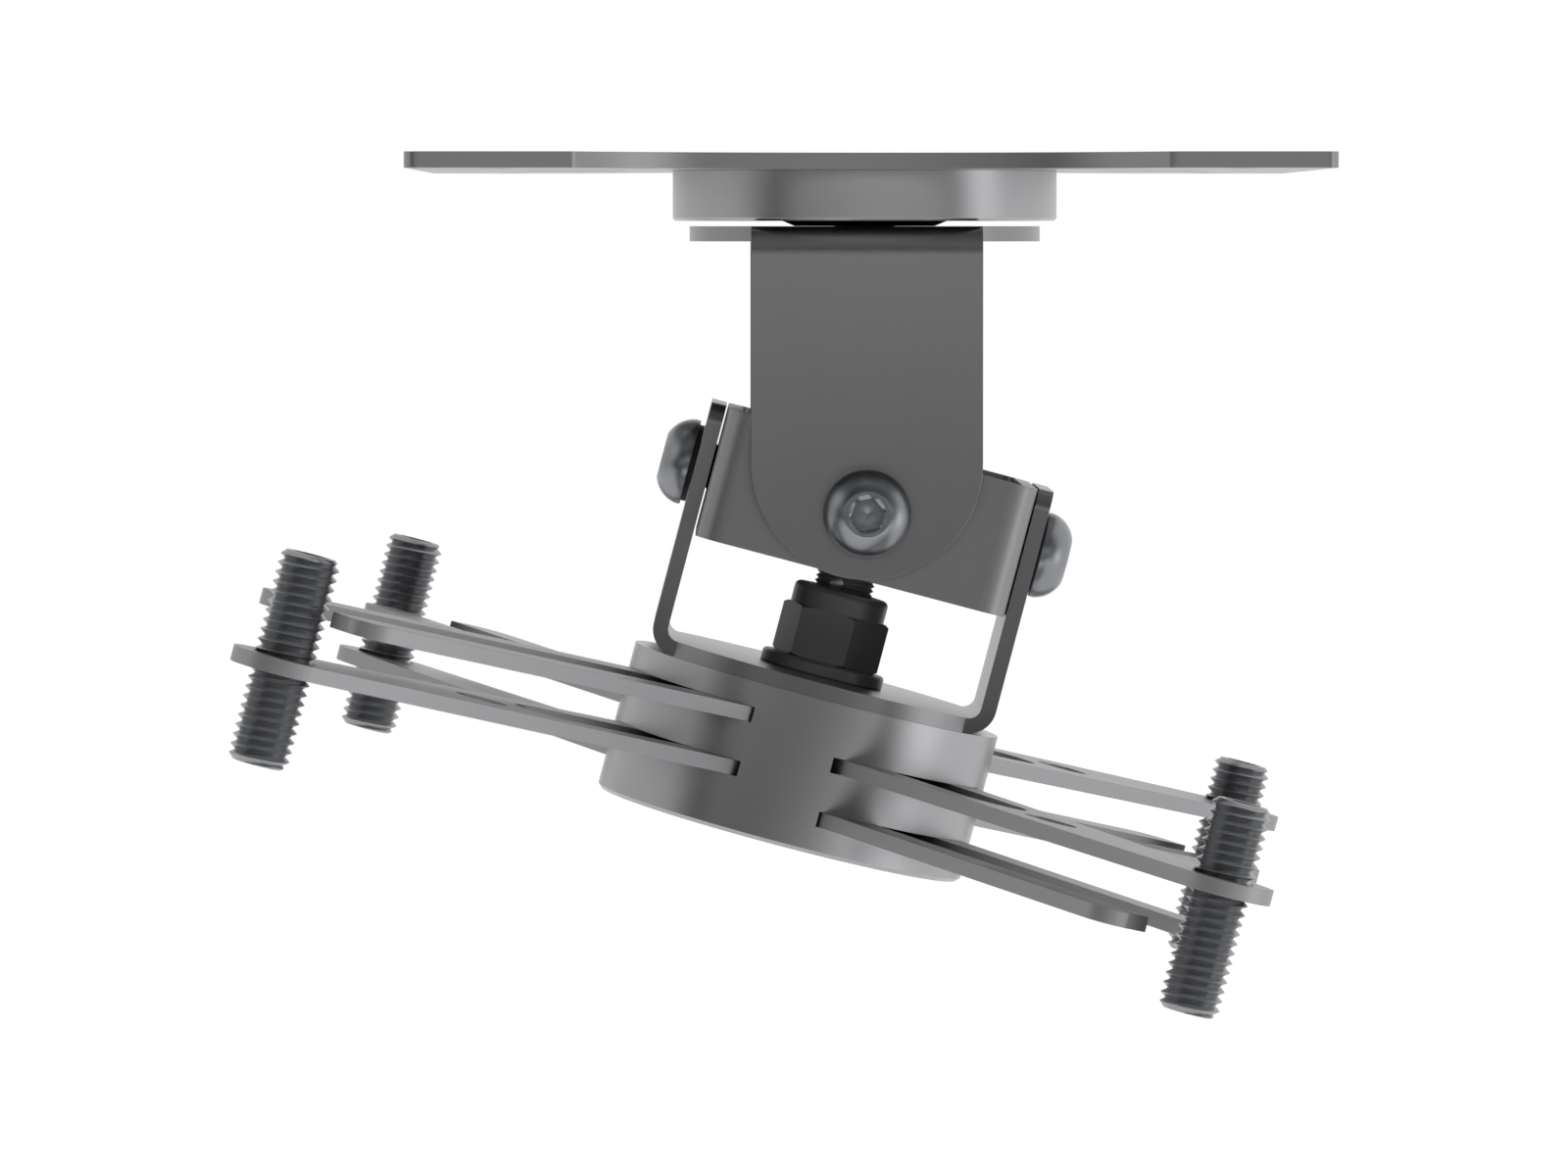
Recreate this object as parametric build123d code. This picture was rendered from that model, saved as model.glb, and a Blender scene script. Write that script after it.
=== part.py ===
from build123d import *
import math
import os

os.makedirs("parts", exist_ok=True)

# All sizes are in millimetres. The origin is the centre of the plate's top face, +Z is up,
# +X is the photo's right and +Y points away from the camera.

# sheet, and the running gap between parts that turn on each other
SHEET = 3.0
GAP = 0.05

# ceiling plate
PLATE_X = 178.0
PLATE_Y = 178.0
PLATE_THICK = 3.1
PLATE_WAIST = 118.0
PLATE_LAND = 32.0
PLATE_CORNER = 3.0
CORNER_HOLE_X = 143.0
CORNER_HOLE_Y = 150.0
CORNER_HOLE = 6.5
SIDE_SLOT_SPACING = 116.0
SIDE_SLOT_LENGTH = 22.0
SIDE_SLOT_WIDTH = 8.0

# drum and swivel
DRUM_DIA = 76.7
DRUM_HIGH = 10.0
FRICTION_GAP = 1.1
FRICTION_TOP_DIA = 33.0
FRICTION_LOW_DIA = 28.0
BOLT_R = 6.0
BOLT_HOLE_R = BOLT_R + 0.06
BOLT_SEAT_R = BOLT_R + 0.02
BOLT_HEAD_DIA = 24.0
BOLT_HEAD_HIGH = 5.0

# yoke and bracket, folded over the same length; the bracket's disc is as wide as the hub
DISC_DIA = 70.0
LEG_WIDTH = 45.5
BEND_OUT = 5.5
YOKE_DROP = 56.4
YOKE_TIP = 13.0
BRACKET_DROP = 37.4
BRACKET_TIP = 13.2
BRACKET_CORNER = 4.0

# gimbal ring and pivots
RING_CLEAR = 0.5
RING_HIGH = 26.0
PIVOT_R = 5.0
PIVOT_HOLE_R = PIVOT_R + 0.06
HEAD_DIA = 17.3
HEAD_HIGH = 5.8
HEAD_FLAT_DIA = 8.9
HEAD_WASHER = 1.0
HEAD_WASHER_DIA = 15.6
HEAD_SOCKET = 6.0
HEAD_SOCKET_DEEP = 3.6
PIVOT_NUT_FLATS = 17.0
PIVOT_NUT_HIGH = 9.5
PIVOT_END_SHOWS = 2.0
TILT = 14.8

# washer and nut on the hub, and the same pair under the yoke
THICK_WASHER_DIA = 25.0
THICK_WASHER = 2.6
NUT_FLATS = 19.0
NUT_HIGH = 10.2
NUT_BEVEL = 0.6
COLLAR_DIA = 19.2
COLLAR_HIGH = 4.5
INSERT_OUT_DIA = 15.4
INSERT_HIGH = 2.6
THREAD_SHOWS = 4.6
NUT_TURN = -10.0

# hub
HUB_DIA = 75.0
HUB_YAW = -4.5
FIRST_BAR_DROP = 5.0
BAR_PITCH = 5.5
LEVELS = 4
HUB_FLOOR = 5.5
SINK_FLOOR = 0.5
CHANNEL_SIDE = 0.6

# bars
BAR_WIDTH = 38.0
BAR_HALF = 126.0
FORK_CORNER = 6.0
SLOT_WIDTH = 15.5
SLOT_STOP = 60.7
TAPER_START = 17.0
BAR_END_R = 10.0
SMALL_HOLE_R = 5.2
SMALL_HOLE_BACK = 50.0

# how far each bar has been pushed towards its closed end, top level first
BAR_PUSH = (-5.0, -0.3, 7.5, 9.0)
BAR_TURN = (45.0, -45.0, 225.0, 135.0)

# studs
STUD_R = 6.0
STUD_BORE_R = 3.5
STUD_LONG = 41.3
STUD_RISE = 9.2
STUD_CHAMFER = 1.1

YOKE_TOP = -(PLATE_THICK + DRUM_HIGH + FRICTION_GAP)
PIVOT_Z = YOKE_TOP - YOKE_DROP
YOKE_FACE = DISC_DIA / 2
RING_OUT = DISC_DIA - 2 * SHEET - 2 * RING_CLEAR
HUB_HIGH = FIRST_BAR_DROP + (LEVELS - 1) * BAR_PITCH + SHEET + HUB_FLOOR
STUD_TOP = STUD_RISE - BRACKET_DROP - FIRST_BAR_DROP
TILTED = Location((0, 0, PIVOT_Z), (0, TILT, 0))


def save(shape, node):
    export_step(shape, "parts/" + node + ".step")


def rod(radius, low, high):
    return Pos(0, 0, (low + high) / 2) * Cylinder(radius, high - low)


def tube(outer, inner, low, high):
    return rod(outer, low, high) - rod(inner, low - 1, high + 1)


def hexagon(flats, low, high):
    face = RegularPolygon(flats / 2, 6, major_radius=False)
    return Pos(0, 0, low) * extrude(face, high - low)


def folded_blank(disc_dia, drop, tip, round_tip):
    # disc with its outer face at z = 0 and two legs reaching down, in front and behind
    reach = DISC_DIA / 2
    flat = reach - BEND_OUT
    disc = rod(disc_dia / 2, -SHEET, 0) & Box(disc_dia, 2 * flat, 4 * SHEET)
    low = -(drop + tip)
    half = LEG_WIDTH / 2
    blank = disc
    for side in (-1, 1):
        outer = Pos(0, side * (reach - SHEET / 2), (low - BEND_OUT) / 2) * Box(
            LEG_WIDTH, SHEET, -low - BEND_OUT)
        top = Pos(0, side * flat / 2, -SHEET / 2) * Box(LEG_WIDTH, flat, SHEET)
        bend = Pos(0, side * flat, -BEND_OUT) * (Rot(0, 90, 0) * Cylinder(BEND_OUT, LEG_WIDTH))
        bend = bend - Pos(0, side * flat, -BEND_OUT) * (
            Rot(0, 90, 0) * Cylinder(BEND_OUT - SHEET, LEG_WIDTH + 2))
        bend = bend & Pos(0, side * (flat + BEND_OUT / 2), -BEND_OUT / 2) * Box(
            LEG_WIDTH + 2, BEND_OUT, BEND_OUT)
        blank = blank + outer + top + bend
    # shape of the leg's free end, cut through both legs
    with BuildSketch(Plane.XZ) as outline:
        if round_tip:
            centre = low + half
            with Locations((0, centre / 2)):
                Rectangle(2 * half, -centre)
            with Locations((0, centre)):
                Circle(half)
        else:
            with Locations((0, low / 2)):
                RectangleRounded(2 * half, -low, BRACKET_CORNER)
        with Locations((0, -SHEET)):
            Rectangle(disc_dia, 2 * SHEET + 4)
    keep = extrude(outline.sketch, reach + 5, both=True)
    blank = blank & keep
    hole = Pos(0, 0, -drop) * (Rot(90, 0, 0) * Cylinder(PIVOT_HOLE_R, 2 * reach + 10))
    bore = rod(BOLT_HOLE_R, -SHEET - 1, 1)
    return blank - hole - bore


def pivot_screw():
    # axis along +Z, outer face of the leg at z = YOKE_FACE
    seat = YOKE_FACE + GAP + HEAD_WASHER
    top = seat + HEAD_HIGH
    end = RING_OUT / 2 - SHEET - PIVOT_NUT_HIGH - PIVOT_END_SHOWS
    with BuildPart() as screw:
        with BuildSketch(Plane.XZ):
            with BuildLine():
                Polyline((0, end), (PIVOT_R - 0.8, end), (PIVOT_R, end + 0.8), (PIVOT_R, seat),
                         (HEAD_DIA / 2, seat), (HEAD_DIA / 2, seat + 1.0))
                ThreePointArc((HEAD_DIA / 2, seat + 1.0),
                              (HEAD_DIA / 2 - 1.35, seat + 3.9), (HEAD_FLAT_DIA / 2, top))
                Polyline((HEAD_FLAT_DIA / 2, top), (0, top), (0, end))
            make_face()
        revolve(axis=Axis.Z)
    socket = hexagon(HEAD_SOCKET, top - HEAD_SOCKET_DEEP, top + 1)
    point = Pos(0, 0, top - HEAD_SOCKET_DEEP - 0.6) * Cone(0.3, HEAD_SOCKET / 2 - 0.3, 1.2)
    return screw.part - socket - point


def lock_nut(seat, up):
    # hexagon on its seat, then the round collar; up is +1 or -1
    hexa = hexagon(NUT_FLATS, seat, seat + NUT_HIGH)
    near = NUT_FLATS / 2 + NUT_BEVEL
    wide = near + NUT_HIGH * math.sqrt(3)
    hexa = hexa & (Pos(0, 0, seat + NUT_HIGH / 2) * Cone(wide, near, NUT_HIGH))
    hexa = hexa & (Pos(0, 0, seat + NUT_HIGH / 2) * Cone(near, wide, NUT_HIGH))
    low = seat + NUT_HIGH
    collar = rod(COLLAR_DIA / 2, low, low + COLLAR_HIGH)
    collar = fillet(collar.edges().group_by(Axis.Z)[-1], 1.2)
    top = low + COLLAR_HIGH
    nut = hexa + collar - rod(BOLT_SEAT_R, seat - 1, top + 1)
    nut = nut - rod(INSERT_OUT_DIA / 2, top - INSERT_HIGH - 0.6, top - 0.6)
    nut = nut - rod(BOLT_R + 0.7, top - 1, top + 1)
    insert = tube(INSERT_OUT_DIA / 2, BOLT_SEAT_R, top - INSERT_HIGH - 0.6, top - 0.6)
    nut = Rot(0, 0, NUT_TURN) * nut
    if up < 0:
        nut = Rot(180, 0, 0) * nut
        insert = Rot(180, 0, 0) * insert
    return nut, insert


def thick_washer(low):
    ring = rod(THICK_WASHER_DIA / 2, low, low + THICK_WASHER)
    ring = fillet(ring.edges(), 0.9)
    return ring - rod(BOLT_SEAT_R, low - 1, low + THICK_WASHER + 1)


def bar_plan():
    # closed end towards +X, fork towards -X, hub axis at x = 0
    half = BAR_WIDTH / 2
    far = BAR_HALF
    # where the straight taper meets the end circle
    run = far - TAPER_START
    span = math.hypot(run, half)
    lean = math.atan2(half, run) + math.acos(BAR_END_R / span)
    tx = far + BAR_END_R * math.cos(math.pi - lean)
    ty = BAR_END_R * math.sin(math.pi - lean)
    with BuildSketch() as plan:
        with BuildLine():
            Polyline((tx, ty), (TAPER_START, half), (-far + FORK_CORNER, half))
            ThreePointArc((-far + FORK_CORNER, half),
                          (-far + FORK_CORNER * (1 - math.sqrt(0.5)),
                           half - FORK_CORNER * (1 - math.sqrt(0.5))),
                          (-far, half - FORK_CORNER))
            Polyline((-far, half - FORK_CORNER), (-far, -half + FORK_CORNER))
            ThreePointArc((-far, -half + FORK_CORNER),
                          (-far + FORK_CORNER * (1 - math.sqrt(0.5)),
                           -half + FORK_CORNER * (1 - math.sqrt(0.5))),
                          (-far + FORK_CORNER, -half))
            Polyline((-far + FORK_CORNER, -half), (TAPER_START, -half), (tx, -ty))
            ThreePointArc((tx, -ty), (far + BAR_END_R, 0), (tx, ty))
        make_face()
        # open slot, round at its closed end
        stop = far - SLOT_STOP
        with Locations(((stop - SLOT_WIDTH / 2 - far - 5) / 2, 0)):
            Rectangle(far + 5 + stop - SLOT_WIDTH / 2, SLOT_WIDTH, mode=Mode.SUBTRACT)
        with Locations((stop - SLOT_WIDTH / 2, 0)):
            Circle(SLOT_WIDTH / 2, mode=Mode.SUBTRACT)
        with Locations((far - SMALL_HOLE_BACK, 0)):
            Circle(SMALL_HOLE_R, mode=Mode.SUBTRACT)
        with Locations((far, 0)):
            Circle(STUD_R + 0.06, mode=Mode.SUBTRACT)
    return plan.sketch


# ceiling plate: straight sides, and a front and back edge that curve in between two lands
half_x = PLATE_X / 2
half_y = PLATE_Y / 2
land_x = half_x - PLATE_LAND
waist = PLATE_WAIST / 2
with BuildSketch() as plate_plan:
    with BuildLine():
        Polyline((land_x, half_y), (half_x, half_y), (half_x, -half_y), (land_x, -half_y))
        ThreePointArc((land_x, -half_y), (0, -waist), (-land_x, -half_y))
        Polyline((-land_x, -half_y), (-half_x, -half_y), (-half_x, half_y), (-land_x, half_y))
        ThreePointArc((-land_x, half_y), (0, waist), (land_x, half_y))
    make_face()
    fillet(plate_plan.vertices(), PLATE_CORNER)
    with GridLocations(CORNER_HOLE_X, CORNER_HOLE_Y, 2, 2):
        Circle(CORNER_HOLE / 2, mode=Mode.SUBTRACT)
    with GridLocations(SIDE_SLOT_SPACING, 0, 2, 1):
        SlotOverall(SIDE_SLOT_LENGTH, SIDE_SLOT_WIDTH, mode=Mode.SUBTRACT)
plate = Pos(0, 0, -PLATE_THICK) * extrude(plate_plan.sketch, PLATE_THICK)
save(plate, "ceiling_plate")

# drum with the seat for the hanging bolt's head
drum_low = -PLATE_THICK - DRUM_HIGH
drum = rod(DRUM_DIA / 2, drum_low, -PLATE_THICK)
drum = chamfer(drum.edges().group_by(Axis.Z)[0], 0.5)
drum = drum - rod(BOLT_HEAD_DIA / 2 + 0.05, -PLATE_THICK - BOLT_HEAD_HIGH, 0)
drum = drum - rod(BOLT_SEAT_R, drum_low - 1, 0)
save(drum, "ceiling_drum")

# swivel stack under the drum
yoke_low = YOKE_TOP - SHEET
swivel_nut_seat = yoke_low - GAP - THICK_WASHER
swivel_end = swivel_nut_seat - NUT_HIGH - COLLAR_HIGH - 3.0
head = rod(BOLT_HEAD_DIA / 2, -PLATE_THICK - BOLT_HEAD_HIGH, -PLATE_THICK)
shank = rod(BOLT_R, swivel_end, -PLATE_THICK - 1)
shank = chamfer(shank.edges().group_by(Axis.Z)[0], 0.9)
save(head + shank, "swivel_bolt")

friction_low = YOKE_TOP + GAP
friction = Pos(0, 0, (drum_low + friction_low) / 2) * Cone(
    FRICTION_LOW_DIA / 2, FRICTION_TOP_DIA / 2, drum_low - friction_low)
friction = friction - rod(BOLT_SEAT_R, friction_low - 1, drum_low + 1)
save(friction, "swivel_friction_washer")

swivel_washer = thick_washer(yoke_low - GAP - THICK_WASHER)
save(swivel_washer, "swivel_washer")
nut, insert = lock_nut(-swivel_nut_seat, -1)
save(nut, "swivel_lock_nut")
save(insert, "swivel_nut_insert")

# yoke
yoke = Pos(0, 0, YOKE_TOP) * folded_blank(DISC_DIA, YOKE_DROP, YOKE_TIP, True)
save(yoke, "yoke")

# gimbal ring and everything that turns with it, built level and then tilted
inner = RING_OUT - 2 * SHEET
with BuildSketch() as ring_plan:
    RectangleRounded(RING_OUT, RING_OUT, BEND_OUT)
    RectangleRounded(inner, inner, BEND_OUT - SHEET, mode=Mode.SUBTRACT)
ring = Pos(0, 0, -RING_HIGH / 2) * extrude(ring_plan.sketch, RING_HIGH)
for turn in ((90, 0, 0), (0, 90, 0)):
    ring = ring - Rot(*turn) * Cylinder(PIVOT_R + 0.02, RING_OUT + 10)
save(TILTED * ring, "gimbal_ring")

SIDES = (
    ("front", Rot(90, 0, 0)),
    ("rear", Rot(-90, 0, 0)),
    ("left", Rot(0, -90, 0)),
    ("right", Rot(0, 90, 0)),
)
washers = []
nuts = []
nut_low = inner / 2 - PIVOT_NUT_HIGH
for name, turn in SIDES:
    save(TILTED * turn * pivot_screw(), name + "_pivot_screw")
    face = YOKE_FACE + GAP
    washers.append(TILTED * turn * tube(HEAD_WASHER_DIA / 2, PIVOT_R + 0.02, face, face + HEAD_WASHER))
    nut = hexagon(PIVOT_NUT_FLATS, nut_low, inner / 2)
    cone = Pos(0, 0, (nut_low + inner / 2) / 2) * Cone(
        PIVOT_NUT_FLATS / 2, PIVOT_NUT_FLATS / 2 + 8.0, PIVOT_NUT_HIGH)
    nut = (nut & cone) - rod(PIVOT_R + 0.02, nut_low - 1, inner / 2 + 1)
    nuts.append(TILTED * turn * nut)
save(Compound(children=washers), "pivot_head_washers")
save(Compound(children=nuts), "pivot_nuts")

# bracket: the blank turned over, arms left and right, its disc flush with the hub
bracket = folded_blank(HUB_DIA, BRACKET_DROP, BRACKET_TIP, False)
bracket = Pos(0, 0, -BRACKET_DROP) * (Rot(0, 180, 90) * bracket)
save(TILTED * bracket, "u_bracket")

# hub, its bolt, washer and nut
hub_top = -BRACKET_DROP - GAP
hub_low = hub_top - HUB_HIGH
bar_tops = [-BRACKET_DROP - FIRST_BAR_DROP - BAR_PITCH * level for level in range(LEVELS)]
hub = rod(HUB_DIA / 2, hub_low, hub_top)
hub = chamfer(hub.edges().group_by(Axis.Z)[0], 0.8)
for level in range(LEVELS):
    middle = bar_tops[level] - SHEET / 2
    channel = Pos(0, 0, middle) * Box(
        HUB_DIA + 20, BAR_WIDTH + 2 * CHANNEL_SIDE, SHEET + 2 * GAP)
    hub = hub - Rot(0, 0, BAR_TURN[level]) * channel
head_deep = HUB_FLOOR - SINK_FLOOR
bolt_sink = Pos(0, 0, hub_low + head_deep / 2) * Cone(BOLT_R + head_deep, BOLT_R, head_deep)
hub = hub - bolt_sink - rod(BOLT_SEAT_R, hub_low - 1, hub_top + 1)
# the hub is cut level between its middle bars, so that each half packs as a simpler solid
hub_cut = (bar_tops[1] - SHEET + bar_tops[2]) / 2
upper = hub & rod(HUB_DIA, hub_cut, hub_top + 1)
lower = hub & rod(HUB_DIA, hub_low - 1, hub_cut)
save(TILTED * (Rot(0, 0, HUB_YAW) * upper), "hub")
save(TILTED * (Rot(0, 0, HUB_YAW) * lower), "hub_base")

bracket_floor = -BRACKET_DROP + SHEET
washer_low = bracket_floor + GAP
nut_seat = washer_low + THICK_WASHER
bolt_top = nut_seat + NUT_HIGH + COLLAR_HIGH + THREAD_SHOWS
shank = rod(BOLT_R, hub_low + 1, bolt_top)
shank = chamfer(shank.edges().group_by(Axis.Z)[-1], 0.9)
bolt = shank + bolt_sink - hexagon(8.0, hub_low - 1, hub_low + 3.5)
save(TILTED * (Rot(0, 0, HUB_YAW) * bolt), "hub_bolt")
save(TILTED * thick_washer(washer_low), "hub_washer")
nut, insert = lock_nut(nut_seat, 1)
save(TILTED * nut, "hub_lock_nut")
save(TILTED * insert, "hub_nut_insert")

# bars and studs, top level first
NAMES = ("one", "two", "three", "four")
plan = bar_plan()
bar_solid = extrude(plan, SHEET)
stud = tube(STUD_R, STUD_BORE_R, STUD_TOP - STUD_LONG, STUD_TOP)
rims = stud.edges().filter_by(GeomType.CIRCLE)
rims = [edge for edge in rims if edge.radius > STUD_R - 0.1]
stud = chamfer(rims, STUD_CHAMFER)
for level in range(LEVELS):
    turn = Rot(0, 0, HUB_YAW + BAR_TURN[level])
    bar = Pos(BAR_PUSH[level], 0, bar_tops[level] - SHEET) * bar_solid
    save(TILTED * turn * bar, "level_" + NAMES[level] + "_bar")
    placed = Pos(BAR_PUSH[level] + BAR_HALF, 0, 0) * stud
    save(TILTED * turn * placed, "level_" + NAMES[level] + "_stud")
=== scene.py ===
import math

import bmesh
import bpy
from mathutils import Matrix, Vector


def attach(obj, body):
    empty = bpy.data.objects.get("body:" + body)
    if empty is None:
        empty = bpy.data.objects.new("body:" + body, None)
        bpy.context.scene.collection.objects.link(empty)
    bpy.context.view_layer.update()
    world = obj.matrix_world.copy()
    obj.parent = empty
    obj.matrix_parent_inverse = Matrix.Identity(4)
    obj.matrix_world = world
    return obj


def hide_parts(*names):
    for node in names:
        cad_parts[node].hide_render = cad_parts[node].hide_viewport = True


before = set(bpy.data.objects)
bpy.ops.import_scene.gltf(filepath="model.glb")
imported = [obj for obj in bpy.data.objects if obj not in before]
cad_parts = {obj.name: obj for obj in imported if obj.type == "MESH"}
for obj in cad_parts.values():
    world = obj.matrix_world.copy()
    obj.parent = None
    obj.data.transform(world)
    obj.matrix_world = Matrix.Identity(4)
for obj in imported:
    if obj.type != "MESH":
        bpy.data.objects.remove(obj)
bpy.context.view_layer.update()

# Sizes in metres. The frame's origin is the centre of the ceiling plate's top face. What hangs
# under the yoke is tilted about the front and rear pivots, and TILTED takes a shape from its own
# upright frame, with its origin at the pivots, to that place.
MM = 0.001
TILT = math.radians(14.8)
PIVOT = Vector((0, 0, -70.6 * MM))
TILTED = Matrix.Translation(PIVOT) @ Matrix.Rotation(TILT, 4, "Y")
UPRIGHT = Matrix.Identity(4)

# Threads
M12_MAJOR = 5.98 * MM
M12_ROOT = 4.85 * MM
M12_PITCH = 1.88 * MM
FINE_ROOT = 5.45 * MM
FINE_PITCH = 1.0 * MM
M10_MAJOR = 4.98 * MM
M10_ROOT = 4.1 * MM
M10_PITCH = 1.5 * MM

# Bars and their studs. BAR_PUSH is how far each bar is drawn out at rest, in millimetres, and
# the two turns are in degrees. Each stud's thread starts STUD_START of a turn past the last.
LEVELS = ("one", "two", "three", "four")
BAR_HALF = 126.0 * MM
BAR_PUSH = (-5.0, -0.3, 7.5, 9.0)
BAR_TURN = (45.0, -45.0, 225.0, 135.0)
HUB_YAW = -4.5
STUD_LONG = 41.3 * MM
STUD_BORE = 3.5 * MM
STUD_TOP = -33.2 * MM
STUD_CHAMFER = 1.2 * MM
STUD_START = 0.21

# Hub bolt, with heights in the tilted frame, and the hole for its split pin
BOLT_LOW = -67.45 * MM
BOLT_NECK = BOLT_LOW + 5.0 * MM
BOLT_TOP = -12.45 * MM
BOLT_CHAMFER = 0.9 * MM
BOLT_START = 0.3
BOLT_HEAD_R = 10.95 * MM
BOLT_KEY = 4.0 * MM
BOLT_KEY_DEEP = 3.5 * MM
BOLT_KEY_TURN = math.radians(12)
PIN_HOLE_R = 1.4 * MM
PIN_HOLE_AT = -15.8 * MM
PIN_HOLE_TURN = math.radians(-108)

# Thick washers, one on the bracket's disc in the tilted frame, one under the yoke's disc
WASHER_R = 12.5 * MM
WASHER_BORE_R = 6.02 * MM
WASHER_THICK = 2.6 * MM
WASHER_ROUND = 0.75 * MM
WASHER_BREAK = 0.15 * MM
BRACKET_TOP = -34.35 * MM
YOKE_UNDERSIDE = -17.25 * MM

# Pivot screws, measured outwards from the middle of the gimbal ring
SCREW_END = 17.0 * MM
SCREW_SEAT = 36.05 * MM
SCREW_CHAMFER = 0.8 * MM
SCREW_START = 0.1
NECK_GAP = 0.05 * MM
BUTTON_R = 8.65 * MM
BUTTON_HIGH = 5.8 * MM
BUTTON_KEY = 3.0 * MM
BUTTON_KEY_DEEP = 3.6 * MM
BUTTON_KEY_TURN = math.radians(25)

# The photograph's camera: the pixel straight ahead of it when level, and its focal length
PHOTO_WIDE = 1600
PHOTO_HIGH = 1200
LEVEL_PIXEL = (745.0, 235.0)
FOCAL_PIXELS = 9180.0
SENSOR = 36.0
CAMERA_PLACE = (-26.9 * MM, -1.8, -15.0 * MM)

# Lamps: name, place, what it is aimed at, width and height, watts
LAMPS = (
    ("key_left", (-1.5, -0.7, 0.7), (0, 0, -0.08), (0.9, 0.9), 1.5),
    ("low_right", (1.5, -0.5, -0.3), (0, 0, -0.08), (0.6, 0.6), 1.6),
    ("over_front", (0.0, -0.5, 0.005), (0, 0, -0.02), (1.1, 0.08), 0.28),
    ("under_front", (0.0, -0.6, -0.34), (0, 0, -0.14), (1.1, 0.08), 0.30),
)


# Node helpers

def new_group(name, inputs, outputs):
    """Shader node group with the given sockets, and its input and output nodes."""
    group = bpy.data.node_groups.new(name, "ShaderNodeTree")
    for label, kind in inputs:
        group.interface.new_socket(label, in_out="INPUT", socket_type=kind)
    for label, kind in outputs:
        group.interface.new_socket(label, in_out="OUTPUT", socket_type=kind)
    start = group.nodes.new("NodeGroupInput")
    end = group.nodes.new("NodeGroupOutput")
    return group, start, end


def math_node(tree, operation, first, second=None, third=None, clamp=False):
    """Math node whose inputs are numbers or other nodes' sockets; returns its output."""
    node = tree.nodes.new("ShaderNodeMath")
    node.operation = operation
    node.use_clamp = clamp
    for index, value in enumerate((first, second, third)):
        if value is None:
            continue
        if isinstance(value, (int, float)):
            node.inputs[index].default_value = value
        else:
            tree.links.new(value, node.inputs[index])
    return node.outputs[0]


def noise_node(tree, vector, scale, detail, rough):
    """Noise from 0 to 1, with about scale bumps in each unit of the vector."""
    node = tree.nodes.new("ShaderNodeTexNoise")
    node.inputs["Scale"].default_value = scale
    node.inputs["Detail"].default_value = detail
    node.inputs["Roughness"].default_value = rough
    tree.links.new(vector, node.inputs["Vector"])
    return node.outputs["Fac"]


# Finishes of the steel. The first three are bumps in a metre.

CLOUD_SCALE = 18.0
SPECK_SCALE = 420.0
GRAIN_SCALE = 2600.0
CLOUD_SHARE = 2.0
SPECK_SHARE = 0.25
NOISE_MIDDLE = 0.5
GRAIN_DEPTH = 0.02 * MM
RING_PITCH = 0.35
RING_HEIGHT = 1.5
BEVEL_SAMPLES = 4


def satin_group():
    """Fine blasted grain and slow cloudiness of satin-finished steel."""
    group, start, end = new_group(
        "satin_grain",
        [("Vector", "NodeSocketVector"), ("Colour", "NodeSocketColor"),
         ("Cloud", "NodeSocketFloat"), ("Roughness", "NodeSocketFloat"),
         ("Rough spread", "NodeSocketFloat")],
        [("Colour", "NodeSocketColor"), ("Roughness", "NodeSocketFloat"),
         ("Height", "NodeSocketFloat")])
    place = start.outputs["Vector"]
    cloud = noise_node(group, place, CLOUD_SCALE, detail=4.0, rough=0.55)
    grain = noise_node(group, place, GRAIN_SCALE, detail=2.0, rough=0.6)
    speck = noise_node(group, place, SPECK_SCALE, detail=3.0, rough=0.6)
    cloud_sway = math_node(group, "SUBTRACT", cloud, NOISE_MIDDLE)
    speck_sway = math_node(group, "SUBTRACT", speck, NOISE_MIDDLE)

    # Cloud is how much the colour gets lighter and darker with both
    slow = math_node(group, "MULTIPLY", math_node(group, "MULTIPLY", cloud_sway,
                                                  start.outputs["Cloud"]), CLOUD_SHARE)
    quick = math_node(group, "MULTIPLY", math_node(group, "MULTIPLY", speck_sway, SPECK_SHARE),
                      start.outputs["Cloud"])
    shade = math_node(group, "ADD", math_node(group, "ADD", slow, quick), 1.0)
    tint = group.nodes.new("ShaderNodeVectorMath")
    tint.operation = "SCALE"
    group.links.new(start.outputs["Colour"], tint.inputs[0])
    group.links.new(shade, tint.inputs["Scale"])
    group.links.new(tint.outputs[0], end.inputs["Colour"])

    rough_sway = math_node(group, "MULTIPLY", speck_sway, start.outputs["Rough spread"])
    group.links.new(math_node(group, "ADD", start.outputs["Roughness"], rough_sway),
                    end.inputs["Roughness"])
    group.links.new(grain, end.inputs["Height"])
    return group


def turned_group():
    """Lathe marks round the axis Z of the given coordinates, Pitch millimetres apart."""
    group, start, end = new_group(
        "turned_marks",
        [("Vector", "NodeSocketVector"), ("Pitch", "NodeSocketFloat")],
        [("Mask", "NodeSocketFloat")])
    split = group.nodes.new("ShaderNodeSeparateXYZ")
    group.links.new(start.outputs["Vector"], split.inputs[0])
    square_x = math_node(group, "MULTIPLY", split.outputs["X"], split.outputs["X"])
    square_y = math_node(group, "MULTIPLY", split.outputs["Y"], split.outputs["Y"])
    radius = math_node(group, "SQRT", math_node(group, "ADD", square_x, square_y))
    along = math_node(group, "ADD", radius, split.outputs["Z"])
    step = math_node(group, "DIVIDE", math_node(group, "MULTIPLY", along, 1 / MM),
                     start.outputs["Pitch"])
    combine = group.nodes.new("ShaderNodeCombineXYZ")
    group.links.new(step, combine.inputs["X"])
    lines = noise_node(group, combine.outputs[0], 1.0, detail=2.0, rough=0.5)
    group.links.new(lines, end.inputs["Mask"])
    return group


satin = satin_group()
turned = turned_group()


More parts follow.
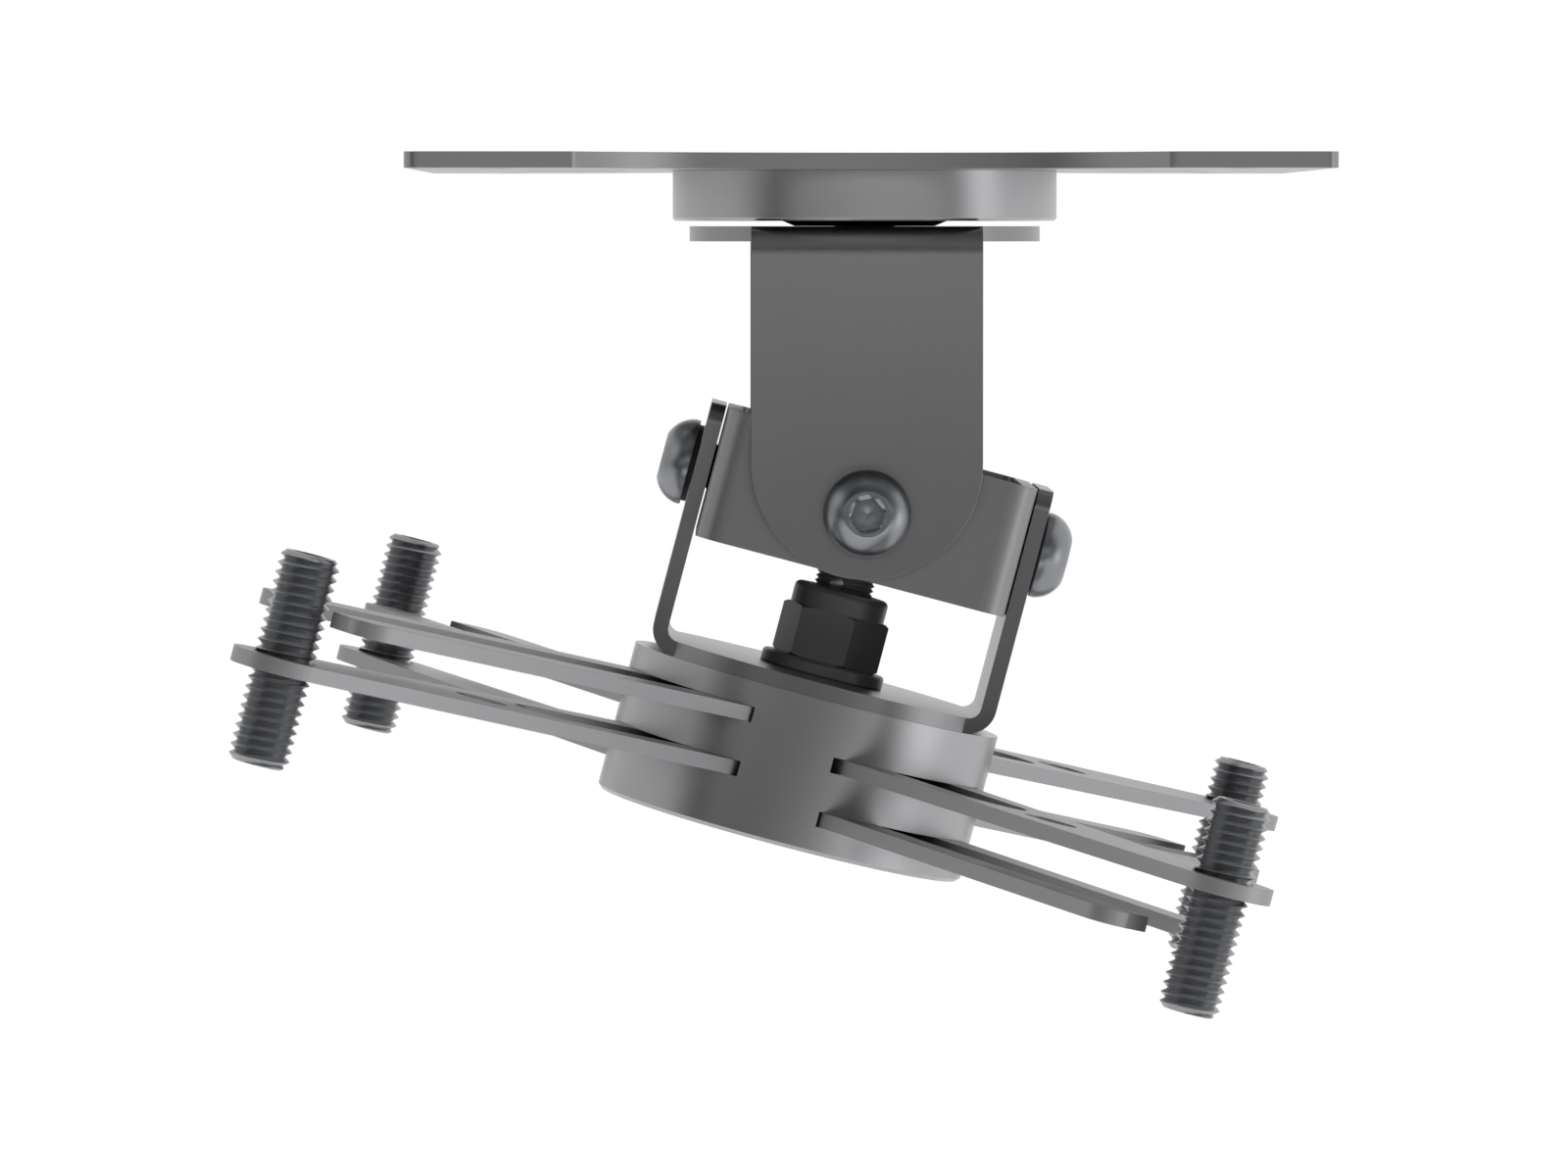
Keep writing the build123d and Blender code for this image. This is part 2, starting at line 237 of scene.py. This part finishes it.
def steel(name, colour, rough, cloud=0.06, spread=0.08, bump=0.15, metallic=1.0, marks=0.0,
          tilted=False, soft_edge=0.0):
    """Metal or nylon with satin grain. marks adds lathe marks round the mount's upright axis,
    or round the tilted one, and soft_edge is the radius that its edges look rounded to."""
    material = bpy.data.materials.new(name)
    material.use_nodes = True
    tree = material.node_tree
    shader = tree.nodes["Principled BSDF"]
    shader.inputs["Metallic"].default_value = metallic
    coords = tree.nodes.new("ShaderNodeTexCoord")
    grain = tree.nodes.new("ShaderNodeGroup")
    grain.node_tree = satin
    grain.inputs["Colour"].default_value = (*colour, 1)
    grain.inputs["Roughness"].default_value = rough
    grain.inputs["Cloud"].default_value = cloud
    grain.inputs["Rough spread"].default_value = spread
    tree.links.new(coords.outputs["Object"], grain.inputs["Vector"])
    tree.links.new(grain.outputs["Colour"], shader.inputs["Base Color"])
    height = grain.outputs["Height"]
    rough_out = grain.outputs["Roughness"]
    if marks:
        place = tree.nodes.new("ShaderNodeMapping")
        place.vector_type = "TEXTURE"
        if tilted:
            place.inputs["Location"].default_value = PIVOT
            place.inputs["Rotation"].default_value = (0, TILT, 0)
        tree.links.new(coords.outputs["Object"], place.inputs["Vector"])
        rings = tree.nodes.new("ShaderNodeGroup")
        rings.node_tree = turned
        rings.inputs["Pitch"].default_value = RING_PITCH
        tree.links.new(place.outputs[0], rings.inputs["Vector"])
        off_middle = math_node(tree, "SUBTRACT", rings.outputs["Mask"], NOISE_MIDDLE)
        ring_sway = math_node(tree, "MULTIPLY", off_middle, marks)
        rough_out = math_node(tree, "ADD", rough_out, ring_sway)
        height = math_node(tree, "ADD", height,
                           math_node(tree, "MULTIPLY", rings.outputs["Mask"], RING_HEIGHT))
    tree.links.new(rough_out, shader.inputs["Roughness"])
    bump_node = tree.nodes.new("ShaderNodeBump")
    bump_node.inputs["Distance"].default_value = GRAIN_DEPTH
    bump_node.inputs["Strength"].default_value = bump
    tree.links.new(height, bump_node.inputs["Height"])
    if soft_edge:
        bevel = tree.nodes.new("ShaderNodeBevel")
        bevel.samples = BEVEL_SAMPLES
        bevel.inputs["Radius"].default_value = soft_edge
        tree.links.new(bevel.outputs[0], bump_node.inputs["Normal"])
    tree.links.new(bump_node.outputs[0], shader.inputs["Normal"])
    return material


sheet_steel = steel("sheet_steel", (0.28, 0.28, 0.287), 0.33, spread=0.03, bump=0.02,
                    soft_edge=0.2 * MM)
dull_steel = steel("dull_steel", (0.33, 0.331, 0.339), 0.45, spread=0.03, bump=0.02,
                   soft_edge=0.2 * MM)
ring_steel = steel("ring_steel", (0.26, 0.26, 0.267), 0.42, spread=0.03, bump=0.02,
                   soft_edge=0.2 * MM)
bracket_steel = steel("bracket_steel", (0.25, 0.25, 0.257), 0.33, spread=0.03, bump=0.02)
turned_steel = steel("turned_steel", (0.39, 0.392, 0.4), 0.32, spread=0.03, bump=0.03,
                     marks=0.05, soft_edge=0.3 * MM)
hub_steel = steel("hub_steel", (0.37, 0.371, 0.38), 0.32, spread=0.03, bump=0.03, marks=0.05,
                  tilted=True)
bright_steel = steel("bright_steel", (0.25, 0.258, 0.27), 0.33, cloud=0.04, spread=0.03,
                     bump=0.02)
stud_steel = steel("stud_steel", (0.28, 0.284, 0.293), 0.31, metallic=0.9, cloud=0.04,
                   spread=0.02, bump=0.001)
black_steel = steel("black_steel", (0.15, 0.151, 0.156), 0.4, metallic=0.25, cloud=0.1,
                    bump=0.04, soft_edge=0.25 * MM)
black_nylon = steel("black_nylon", (0.012, 0.012, 0.013), 0.55, metallic=0.0, cloud=0.1)

# The CAD nodes that are shown as they are
FINISH = {
    "ceiling_plate": sheet_steel, "yoke": sheet_steel, "gimbal_ring": ring_steel,
    "u_bracket": bracket_steel, "ceiling_drum": turned_steel,
    "hub": hub_steel, "hub_base": hub_steel, "swivel_bolt": black_steel,
    "swivel_lock_nut": black_steel, "hub_lock_nut": black_steel, "pivot_nuts": black_steel,
    "swivel_friction_washer": black_nylon, "swivel_nut_insert": black_nylon,
    "pivot_head_washers": black_nylon, "hub_nut_insert": black_nylon,
}
for level in LEVELS:
    FINISH["level_" + level + "_bar"] = dull_steel
for node, material in FINISH.items():
    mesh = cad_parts[node].data
    mesh.materials.clear()
    mesh.materials.append(material)


# Threaded rods, made by geometry nodes. ROOT_FLAT and FLANK_SHARE are shares of half a pitch,
# and PHASE_LIFT is whole turns, which keep what FRACT gets above zero.

THREAD_SIZES = ("Length", "Major radius", "Root radius", "Pitch", "Bore radius", "Chamfer",
                "Start turn")
THREAD_STEPS = (("Columns", 48), ("Rows a turn", 8))
SPARE_TURNS = 2.0
ROOT_FLAT = 0.1
FLANK_SHARE = 0.86
PHASE_LIFT = 8.0
LEAST_BORE = 0.01 * MM
THREAD_WELD = 0.003 * MM


def thread_tree():
    """Rod with a helical V thread from z = 0 to z = Length, chamfered ends and an optional bore."""
    tree = bpy.data.node_groups.new("threaded_rod", "GeometryNodeTree")
    tree.interface.new_socket("Geometry", in_out="INPUT", socket_type="NodeSocketGeometry")
    for label in THREAD_SIZES:
        tree.interface.new_socket(label, in_out="INPUT", socket_type="NodeSocketFloat")
    for label, value in THREAD_STEPS:
        socket = tree.interface.new_socket(label, in_out="INPUT", socket_type="NodeSocketInt")
        socket.default_value = value
    tree.interface.new_socket("Material", in_out="INPUT", socket_type="NodeSocketMaterial")
    tree.interface.new_socket("Geometry", in_out="OUTPUT", socket_type="NodeSocketGeometry")
    start = tree.nodes.new("NodeGroupInput")
    end = tree.nodes.new("NodeGroupOutput")
    given = start.outputs

    def calc(operation, first, second=None, third=None):
        return math_node(tree, operation, first, second, third)

    # rows: the first on the bore, then the thread with a spare turn at each end, then one on the
    # bore again, and where there is a bore one more that closes its wall
    turns = calc("DIVIDE", given["Length"], given["Pitch"])
    body_rows = calc("CEIL", calc("MULTIPLY", calc("ADD", turns, SPARE_TURNS),
                                  given["Rows a turn"]))
    has_bore = calc("GREATER_THAN", given["Bore radius"], LEAST_BORE)
    rows = calc("ADD", calc("ADD", body_rows, 2.0), has_bore)
    columns = calc("ADD", given["Columns"], 1.0)
    grid = tree.nodes.new("GeometryNodeMeshGrid")
    tree.links.new(columns, grid.inputs["Vertices X"])
    tree.links.new(rows, grid.inputs["Vertices Y"])
    index = tree.nodes.new("GeometryNodeInputIndex").outputs[0]
    column = calc("FLOOR", calc("DIVIDE", calc("ADD", index, 0.5), rows))
    row = calc("SUBTRACT", index, calc("MULTIPLY", column, rows))
    around = calc("DIVIDE", column, given["Columns"])

    # height follows the helix, and is held between the two ends
    step = calc("DIVIDE", calc("SUBTRACT", row, 1.0), given["Rows a turn"])
    climb = calc("MULTIPLY", calc("SUBTRACT", calc("ADD", step, around), 1.0), given["Pitch"])
    held = calc("MINIMUM", calc("MAXIMUM", climb, 0.0), given["Length"])

    # radius goes from root to crest and back once a pitch, with the crest and root left flat
    turned_by = calc("SUBTRACT", calc("DIVIDE", held, given["Pitch"]), around)
    phase = calc("FRACT", calc("ADD", turned_by, PHASE_LIFT))
    wave = calc("ABSOLUTE", calc("SUBTRACT", calc("MULTIPLY", phase, 2.0), 1.0))
    slope = calc("DIVIDE", calc("SUBTRACT", wave, ROOT_FLAT), FLANK_SHARE)
    flank = calc("MINIMUM", calc("MAXIMUM", slope, 0.0), 1.0)
    depth = calc("SUBTRACT", given["Major radius"], given["Root radius"])
    thread = calc("MULTIPLY_ADD", flank, depth, given["Root radius"])
    from_end = calc("MINIMUM", held, calc("SUBTRACT", given["Length"], held))
    cone = calc("ADD", calc("SUBTRACT", given["Major radius"], given["Chamfer"]), from_end)
    outer = calc("MINIMUM", thread, cone)

    # the first row and the rows past the thread lie on the bore
    first = calc("LESS_THAN", row, 0.5)
    past = calc("GREATER_THAN", row, calc("ADD", body_rows, 0.5))
    last = calc("MULTIPLY", calc("GREATER_THAN", row, calc("ADD", body_rows, 1.5)), has_bore)
    on_bore = calc("MAXIMUM", first, past)
    off_bore = calc("SUBTRACT", 1.0, on_bore)
    radius = calc("ADD", calc("MULTIPLY", outer, off_bore),
                  calc("MULTIPLY", given["Bore radius"], on_bore))
    at_top = calc("SUBTRACT", past, last)
    height = calc("ADD", calc("MULTIPLY", held, off_bore),
                  calc("MULTIPLY", given["Length"], at_top))
    angle = calc("MULTIPLY", calc("ADD", around, given["Start turn"]), 2 * math.pi)
    place = tree.nodes.new("ShaderNodeCombineXYZ")
    tree.links.new(calc("MULTIPLY", radius, calc("COSINE", angle)), place.inputs["X"])
    tree.links.new(calc("MULTIPLY", radius, calc("SINE", angle)), place.inputs["Y"])
    tree.links.new(height, place.inputs["Z"])

    shape = tree.nodes.new("GeometryNodeSetPosition")
    tree.links.new(grid.outputs["Mesh"], shape.inputs["Geometry"])
    tree.links.new(place.outputs[0], shape.inputs["Position"])
    merge = tree.nodes.new("GeometryNodeMergeByDistance")
    merge.inputs["Distance"].default_value = THREAD_WELD
    tree.links.new(shape.outputs[0], merge.inputs["Geometry"])
    real = tree.nodes.new("GeometryNodeRealizeInstances")
    tree.links.new(merge.outputs[0], real.inputs["Geometry"])
    paint = tree.nodes.new("GeometryNodeSetMaterial")
    tree.links.new(real.outputs[0], paint.inputs["Geometry"])
    tree.links.new(given["Material"], paint.inputs["Material"])
    tree.links.new(paint.outputs[0], end.inputs["Geometry"])
    return tree


threads = thread_tree()
SOCKETS = {item.name: item.identifier for item in threads.interface.items_tree
           if item.item_type == "SOCKET" and item.in_out == "INPUT"}


def evaluated_mesh(carrier):
    """Plain mesh of an object with its modifiers applied."""
    bpy.context.view_layer.update()
    graph = bpy.context.evaluated_depsgraph_get()
    return bpy.data.meshes.new_from_object(carrier.evaluated_get(graph))


def scene_object(name, data):
    """Object in the scene that carries a mesh, a lamp or a camera."""
    carrier = bpy.data.objects.new(name, data)
    bpy.context.scene.collection.objects.link(carrier)
    return carrier


def threaded_mesh(name, material, sizes):
    """Plain mesh of a threaded rod that stands on z = 0, solid where no bore is given."""
    maker = scene_object(name + "_maker", bpy.data.meshes.new(name + "_maker"))
    modifier = maker.modifiers.new("thread", "NODES")
    modifier.node_group = threads
    for label, value in sizes.items():
        modifier[SOCKETS[label]] = value
    modifier[SOCKETS["Material"]] = material
    mesh = evaluated_mesh(maker)
    bpy.data.objects.remove(maker)
    mesh.name = name
    return mesh


# Turned shapes, and what every new mesh goes through

COLUMNS = 72
DRILL_COLUMNS = 32
WELD = 0.002 * MM
SHARP = math.radians(32)


def turned_mesh(rows, columns=COLUMNS, turn=0.0, hole=False):
    """Closed mesh turned round the axis Z. A row is a radius, a height and a shape: a round
    row has that radius, a hex row is a hexagon with that distance from the axis to a flat.
    With a hole, the last row joins the first instead of being capped."""
    points = []
    faces = []
    for radius, height, shape in rows:
        for column in range(columns):
            angle = 2 * math.pi * column / columns
            reach = radius
            if shape == "hex":
                off = (angle % (math.pi / 3)) - math.pi / 6
                reach = radius / math.cos(off)
            points.append((reach * math.cos(angle + turn), reach * math.sin(angle + turn), height))
    for row in range(len(rows) if hole else len(rows) - 1):
        below = (row + 1) % len(rows)
        for column in range(columns):
            after = (column + 1) % columns
            faces.append((row * columns + column, row * columns + after,
                          below * columns + after, below * columns + column))
    capped = [] if hole else [0, len(rows) - 1]
    for row in capped:
        centre = len(points)
        points.append((0, 0, rows[row][1]))
        for column in range(columns):
            after = (column + 1) % columns
            faces.append((row * columns + column, row * columns + after, centre))
    mesh = bpy.data.meshes.new("turned")
    mesh.from_pydata(points, [], faces)
    return mesh


def finish_mesh(mesh):
    """Doubles merged, faces outwards, smooth shading with the sharp edges kept."""
    work = bmesh.new()
    work.from_mesh(mesh)
    bmesh.ops.remove_doubles(work, verts=work.verts, dist=WELD)
    loose = [edge for edge in work.edges if not edge.link_faces]
    bmesh.ops.delete(work, geom=loose, context="EDGES")
    bmesh.ops.recalc_face_normals(work, faces=work.faces)
    work.to_mesh(mesh)
    work.free()
    mesh.shade_smooth()
    mesh.set_sharp_from_angle(angle=SHARP)


def piece_object(name, meshes, place, material):
    """One object of several meshes, placed inside its own mesh."""
    work = bmesh.new()
    for mesh in meshes:
        work.from_mesh(mesh)
        bpy.data.meshes.remove(mesh)
    whole = bpy.data.meshes.new(name)
    work.to_mesh(whole)
    work.free()
    whole.transform(place)
    whole.materials.append(material)
    finish_mesh(whole)
    return scene_object(name, whole)


def threaded_stud(index, level):
    """Hollow M12 stud in the closed end of a bar."""
    turn = math.radians(HUB_YAW + BAR_TURN[index])
    reach = BAR_HALF + BAR_PUSH[index] * MM
    place = (TILTED @ Matrix.Rotation(turn, 4, "Z")
             @ Matrix.Translation((reach, 0, STUD_TOP - STUD_LONG)))
    thread = threaded_mesh("stud_thread", stud_steel, {
        "Length": STUD_LONG, "Major radius": M12_MAJOR, "Root radius": M12_ROOT,
        "Pitch": M12_PITCH, "Bore radius": STUD_BORE, "Chamfer": STUD_CHAMFER,
        "Start turn": STUD_START * index})
    stud = piece_object("threaded_stud_" + level, [thread], place, stud_steel)
    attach(stud, "stud_" + level)
    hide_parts("level_" + level + "_stud")


for index, level in enumerate(LEVELS):
    threaded_stud(index, level)


# Hub bolt

def cross_drilled(mesh, height, radius, turn):
    """The mesh with a hole across its axis, for a split pin."""
    reach = 1.5 * M12_MAJOR
    drill = turned_mesh([(radius, -reach, "round"), (radius, reach, "round")],
                        columns=DRILL_COLUMNS)
    drill.transform(Matrix.Translation((0, 0, height)) @ Matrix.Rotation(turn, 4, "Z")
                    @ Matrix.Rotation(math.radians(90), 4, "Y"))
    finish_mesh(drill)
    finish_mesh(mesh)
    body = scene_object("bolt_body", mesh)
    tool = scene_object("bolt_drill", drill)
    cut = body.modifiers.new("cut", "BOOLEAN")
    cut.operation = "DIFFERENCE"
    cut.solver = "EXACT"
    cut.object = tool
    result = evaluated_mesh(body)
    for carrier in (body, tool):
        bpy.data.objects.remove(carrier)
    return result


def hub_bolt():
    """Fine thread with a chamfered end, and a countersunk head with a hexagon socket."""
    thread = threaded_mesh("bolt_thread", black_steel, {
        "Length": BOLT_TOP - BOLT_NECK, "Major radius": M12_MAJOR, "Root radius": FINE_ROOT,
        "Pitch": FINE_PITCH, "Chamfer": BOLT_CHAMFER, "Start turn": BOLT_START})
    thread.transform(Matrix.Translation((0, 0, BOLT_NECK)))
    floor = BOLT_LOW + BOLT_KEY_DEEP
    head = turned_mesh([
        (0.4 * MM, floor + 0.9 * MM, "round"), (3.2 * MM, floor, "round"),
        (BOLT_KEY - 0.03 * MM, floor, "hex"), (BOLT_KEY, BOLT_LOW + 0.35 * MM, "hex"),
        (4.7 * MM, BOLT_LOW, "round"), (BOLT_HEAD_R - 0.25 * MM, BOLT_LOW, "round"),
        (BOLT_HEAD_R, BOLT_LOW + 0.1 * MM, "round"), (6.05 * MM, BOLT_NECK, "round"),
        (5.4 * MM, BOLT_NECK + 0.02 * MM, "round")], turn=BOLT_KEY_TURN)
    thread = cross_drilled(thread, PIN_HOLE_AT, PIN_HOLE_R, PIN_HOLE_TURN)
    return piece_object("threaded_hub_bolt", [thread, head], TILTED, black_steel)


bolt = hub_bolt()
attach(bolt, "hub_body")
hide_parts("hub_bolt")


# Thick washers: flat against the sheet, rounded on the nut's side

ROUND_STEPS = 8


def thick_washer(node, body, flat, rise, place):
    """Washer from the height flat, its thickness rising (1) or hanging (-1) from there."""
    rows = [(WASHER_BORE_R, flat, "round"), (WASHER_R - WASHER_BREAK, flat, "round"),
            (WASHER_R, flat + rise * WASHER_BREAK, "round")]
    for step in range(ROUND_STEPS + 1):
        angle = math.pi / 2 * step / ROUND_STEPS
        rows.append((WASHER_R + WASHER_ROUND * (math.cos(angle) - 1),
                     flat + rise * (WASHER_THICK + WASHER_ROUND * (math.sin(angle) - 1)),
                     "round"))
    rows.append((WASHER_BORE_R, flat + rise * WASHER_THICK, "round"))
    washer = piece_object("formed_" + node, [turned_mesh(rows, hole=True)], place, black_steel)
    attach(washer, body)
    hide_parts(node)


thick_washer("hub_washer", "hub_body", BRACKET_TOP, 1, TILTED)
thick_washer("swivel_washer", "base", YOKE_UNDERSIDE, -1, UPRIGHT)


# Pivot screws: button heads with a hexagon socket on M10 threads

DOME_STEPS = 14
SIDES = (("front", (90, 0)), ("rear", (-90, 0)), ("left", (0, -90)), ("right", (0, 90)))


def circle_through(one, two, three):
    """Centre and radius of the circle through three points of a plane."""
    (ax, ay), (bx, by), (cx, cy) = one, two, three
    scale = 2 * (ax * (by - cy) + bx * (cy - ay) + cx * (ay - by))
    a2, b2, c2 = ax * ax + ay * ay, bx * bx + by * by, cx * cx + cy * cy
    x = (a2 * (by - cy) + b2 * (cy - ay) + c2 * (ay - by)) / scale
    y = (a2 * (cx - bx) + b2 * (ax - cx) + c2 * (bx - ax)) / scale
    return (x, y), math.hypot(ax - x, ay - y)


def button_rows():
    """Rows of a button head, from the middle of its socket's floor to the neck under its seat."""
    top = SCREW_SEAT + BUTTON_HIGH
    floor = top - BUTTON_KEY_DEEP
    rows = [(0.2 * MM, floor - 0.2 * MM, "round"), (0.7 * MM, floor - 0.02 * MM, "round"),
            (2.6 * MM, floor, "round"), (BUTTON_KEY - 0.01 * MM, floor + 0.02 * MM, "hex"),
            (BUTTON_KEY, top - 0.3 * MM, "hex"), (3.62 * MM, top, "round"),
            (4.3 * MM, top, "round")]

    # domed side: part of the circle through the flat's rim, the shoulder and the cheek, each a
    # radius and a height over the seat
    rim = (4.45 * MM, BUTTON_HIGH)
    shoulder = (7.3 * MM, 3.9 * MM)
    cheek = (BUTTON_R, 1.0 * MM)
    centre, reach = circle_through(rim, shoulder, cheek)
    first = math.atan2(rim[1] - centre[1], rim[0] - centre[0])
    last = math.atan2(cheek[1] - centre[1], cheek[0] - centre[0])
    for step in range(DOME_STEPS + 1):
        angle = first + (last - first) * step / DOME_STEPS
        rows.append((centre[0] + reach * math.cos(angle),
                     SCREW_SEAT + centre[1] + reach * math.sin(angle), "round"))
    rows += [(BUTTON_R, SCREW_SEAT + 0.2 * MM, "round"),
             (BUTTON_R - 0.2 * MM, SCREW_SEAT, "round"), (4.6 * MM, SCREW_SEAT, "round"),
             (4.0 * MM, SCREW_SEAT - 0.02 * MM, "round")]
    return rows


def pivot_screw(side, about_x, about_y):
    """Screw made upright, then turned by these degrees to point out of its side of the ring."""
    thread = threaded_mesh("pivot_thread", bright_steel, {
        "Length": SCREW_SEAT - SCREW_END - NECK_GAP, "Major radius": M10_MAJOR,
        "Root radius": M10_ROOT, "Pitch": M10_PITCH, "Chamfer": SCREW_CHAMFER,
        "Start turn": SCREW_START})
    thread.transform(Matrix.Translation((0, 0, SCREW_END)))
    head = turned_mesh(button_rows(), turn=BUTTON_KEY_TURN)
    turn = (Matrix.Rotation(math.radians(about_x), 4, "X")
            @ Matrix.Rotation(math.radians(about_y), 4, "Y"))
    screw = piece_object("threaded_" + side + "_pivot_screw", [thread, head], TILTED @ turn,
                         bright_steel)
    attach(screw, "ring_body")
    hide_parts(side + "_pivot_screw")


for side, (about_x, about_y) in SIDES:
    pivot_screw(side, about_x, about_y)


# Floor, light and camera

FLOOR_HALF = 5.0
FLOOR_NEAR = -1.6
FLOOR_FAR = 7.0
FLOOR_LOW = -0.55
FLOOR_COLOUR = (0.9, 0.9, 0.9, 1)
FLOOR_ROUGH = 0.9
FLOOR_GLOW = 0.4
WHITE = (1, 1, 1, 1)
VIEWER_SIDE_SLOPE = 2.0
VIEWER_SIDE_DIM = 0.84
BELOW_DIM = 0.08
HORIZON_SLOPE = 14.0
HORIZON_EDGE = 0.2
LEFT_DIM = 0.25


def pale_floor():
    """Pale floor that also glows a little to the camera and in metal."""
    mesh = bpy.data.meshes.new("floor")
    mesh.from_pydata([(-FLOOR_HALF, FLOOR_NEAR, FLOOR_LOW), (FLOOR_HALF, FLOOR_NEAR, FLOOR_LOW),
                      (FLOOR_HALF, FLOOR_FAR, FLOOR_LOW), (-FLOOR_HALF, FLOOR_FAR, FLOOR_LOW)],
                     [], [(0, 1, 2, 3)])
    floor = scene_object("floor", mesh)
    material = bpy.data.materials.new("pale_floor")
    material.use_nodes = True
    tree = material.node_tree
    shader = tree.nodes["Principled BSDF"]
    shader.inputs["Base Color"].default_value = FLOOR_COLOUR
    shader.inputs["Roughness"].default_value = FLOOR_ROUGH
    path = tree.nodes.new("ShaderNodeLightPath")
    seen = math_node(tree, "MAXIMUM", path.outputs["Is Camera Ray"],
                     path.outputs["Is Glossy Ray"])
    seen = math_node(tree, "MAXIMUM", seen, path.outputs["Is Transmission Ray"])
    shader.inputs["Emission Color"].default_value = WHITE
    tree.links.new(math_node(tree, "MULTIPLY", seen, FLOOR_GLOW),
                   shader.inputs["Emission Strength"])
    mesh.materials.append(material)


def studio_world():
    """White to the camera. Light and reflections see it white behind the mount, dim on the
    viewer's side, a little dimmer still below the horizon there, and greyer to the left."""
    world = bpy.data.worlds.new("studio")
    bpy.context.scene.world = world
    world.use_nodes = True
    tree = world.node_tree
    background = tree.nodes["Background"]
    coords = tree.nodes.new("ShaderNodeTexCoord")
    split = tree.nodes.new("ShaderNodeSeparateXYZ")
    tree.links.new(coords.outputs["Generated"], split.inputs[0])
    towards_viewer = math_node(tree, "MAXIMUM",
                               math_node(tree, "MULTIPLY", split.outputs["Y"], -1.0), 0.0)
    facing = math_node(tree, "MULTIPLY", towards_viewer, VIEWER_SIDE_SLOPE, clamp=True)
    below = math_node(tree, "MULTIPLY_ADD", split.outputs["Z"], -HORIZON_SLOPE, HORIZON_EDGE,
                      clamp=True)
    dark = math_node(tree, "MULTIPLY_ADD", below, -BELOW_DIM, -VIEWER_SIDE_DIM)
    dim = math_node(tree, "MULTIPLY", math_node(tree, "MULTIPLY", facing, facing), dark)
    left = math_node(tree, "MINIMUM", split.outputs["X"], 0.0)
    side = math_node(tree, "MULTIPLY_ADD", left, LEFT_DIM, 1.0)
    lit = math_node(tree, "ADD", dim, side)
    path = tree.nodes.new("ShaderNodeLightPath")
    seen = math_node(tree, "MAXIMUM", path.outputs["Is Camera Ray"],
                     path.outputs["Is Transmission Ray"])
    unseen = math_node(tree, "SUBTRACT", 1.0, seen)
    strength = math_node(tree, "ADD", math_node(tree, "MULTIPLY", lit, unseen), seen)
    tree.links.new(strength, background.inputs["Strength"])
    background.inputs["Color"].default_value = WHITE


def soft_lamp(name, place, aim, size, watts):
    """Rectangular lamp that points at a place."""
    light = bpy.data.lights.new(name, "AREA")
    light.shape = "RECTANGLE"
    light.size, light.size_y = size
    light.energy = watts
    lamp = scene_object(name, light)
    lamp.location = place
    lamp.rotation_euler = (Vector(aim) - Vector(place)).to_track_quat("-Z", "Y").to_euler()


def photo_camera():
    """Camera at the photograph's place. It looks at the middle of the picture, which is beside
    and below the pixel straight ahead of a level camera there."""
    data = bpy.data.cameras.new("photo_camera")
    data.sensor_width = SENSOR
    data.lens = SENSOR * FOCAL_PIXELS / PHOTO_WIDE
    data.clip_start = 0.1
    data.clip_end = 60.0
    camera = scene_object("photo_camera", data)
    camera.location = CAMERA_PLACE
    aim = Vector(((PHOTO_WIDE / 2 - LEVEL_PIXEL[0]) / FOCAL_PIXELS, 1.0,
                  -(PHOTO_HIGH / 2 - LEVEL_PIXEL[1]) / FOCAL_PIXELS))
    camera.rotation_mode = "QUATERNION"
    camera.rotation_quaternion = aim.to_track_quat("-Z", "Y")
    bpy.context.scene.camera = camera


pale_floor()
studio_world()
for lamp in LAMPS:
    soft_lamp(*lamp)
photo_camera()
bpy.context.scene.view_settings.view_transform = "Standard"
